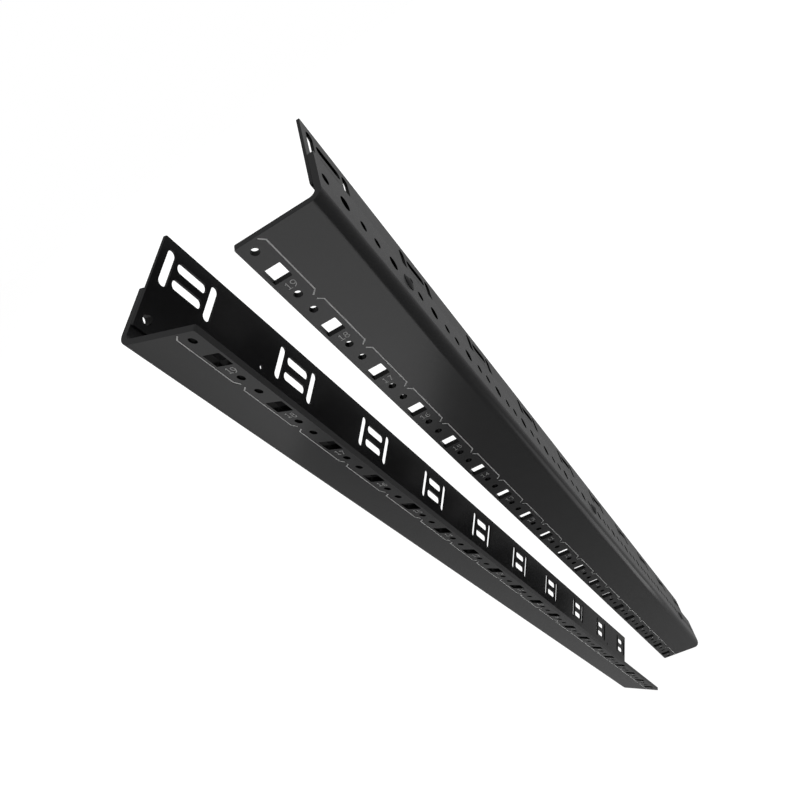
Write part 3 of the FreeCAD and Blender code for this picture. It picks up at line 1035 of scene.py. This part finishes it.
class RACK_OT_rivets(bpy.types.Operator):
    """Builds the blind rivets that hold the strips"""

    bl_idname = "rack.rivets"
    bl_label = "Rivets"

    def execute(self, context):
        sizes, finish = context.scene.rack_sizes, context.scene.rack_finish
        gloss, roughness = finish.rivet_gloss, finish.coat_roughness
        coat = powder_coat("rivet_black", finish.rivet_colour, gloss, roughness, RIVET_SHIFT, False)
        solid, quads, caps = turned_solid(rivet_profile(sizes), TURNED_SIDES)
        for hand in HANDS:
            if hand == "left":
                quads, caps = quads[:, ::-1], caps[:, ::-1]
            faces = quads.tolist() + caps.tolist()
            for name, height in rivet_heights(sizes).items():
                node = f"{hand}_rivet_{name}"
                seat = np.array([sizes.face_width, sizes.side_line, height])
                points = placed(solid + seat, hand)
                piece = new_piece(f"{node}_turned", points, faces, coat, node)
                piece.data.set_sharp_from_angle(angle=RIVET_CREASE)
        return {"FINISHED"}


class RACK_OT_brackets(bpy.types.Operator):
    """Prints the bracket beside each unit"""

    bl_idname = "rack.brackets"
    bl_label = "Unit brackets"

    def execute(self, context):
        sizes, finish = context.scene.rack_sizes, context.scene.rack_finish
        ink = printed_ink("bracket_ink", finish.bracket_colour, finish.coat_gloss, finish.coat_roughness)
        for hand, shift in zip(HANDS, (0.0, sizes.left_print_shift)):
            print_piece(f"{hand}_unit_brackets", hand, bracket_ribbons(sizes, shift), ink)
        return {"FINISHED"}


class RACK_OT_numbers(bpy.types.Operator):
    """Prints the number of each unit"""

    bl_idname = "rack.numbers"
    bl_label = "Unit numbers"

    def execute(self, context):
        sizes, finish = context.scene.rack_sizes, context.scene.rack_finish
        ink = printed_ink("number_ink", finish.number_colour, finish.coat_gloss, finish.coat_roughness)
        for hand, shift, way in zip(HANDS, (0.0, sizes.left_print_shift), (1.0, -1.0)):
            ribbons = number_ribbons(sizes, sizes.digit_middle - shift, way)
            print_piece(f"{hand}_unit_numbers", hand, ribbons, ink)
        return {"FINISHED"}


class RACK_OT_stage(bpy.types.Operator):
    """Sets the white floor, the studio lamps and the camera"""

    bl_idname = "rack.stage"
    bl_label = "Stage"

    def execute(self, context):
        scene = context.scene
        scene.view_settings.view_transform = "Standard"
        make_floor(scene)
        make_world(scene)
        make_lamps(scene)
        make_camera(scene)
        return {"FINISHED"}


class RACK_PT_panel(bpy.types.Panel):
    """Lists the pieces of the rails and the stage"""

    bl_idname = "RACK_PT_panel"
    bl_label = "Rack rails"
    bl_space_type = "VIEW_3D"
    bl_region_type = "UI"
    bl_category = "Rack"

    def draw(self, context):
        for operator in OPERATORS:
            self.layout.operator(operator.bl_idname)


OPERATORS = (
    RACK_OT_rails, RACK_OT_strips, RACK_OT_rivets, RACK_OT_brackets, RACK_OT_numbers, RACK_OT_stage,
)
CLASSES = (RackSizes, RackFinish, *OPERATORS, RACK_PT_panel)


def register():
    """Registers the classes and gives the scene its sizes and finishes."""
    for item in CLASSES:
        bpy.utils.register_class(item)
    bpy.types.Scene.rack_sizes = bpy.props.PointerProperty(type=RackSizes)
    bpy.types.Scene.rack_finish = bpy.props.PointerProperty(type=RackFinish)


def unregister():
    """Takes the sizes, the finishes and the classes away again."""
    del bpy.types.Scene.rack_finish
    del bpy.types.Scene.rack_sizes
    for item in reversed(CLASSES):
        bpy.utils.unregister_class(item)


def main():
    """Builds every piece and the stage."""
    register()
    bpy.ops.rack.rails()
    bpy.ops.rack.strips()
    bpy.ops.rack.rivets()
    bpy.ops.rack.brackets()
    bpy.ops.rack.numbers()
    bpy.ops.rack.stage()


if __name__ == "__main__":
    main()
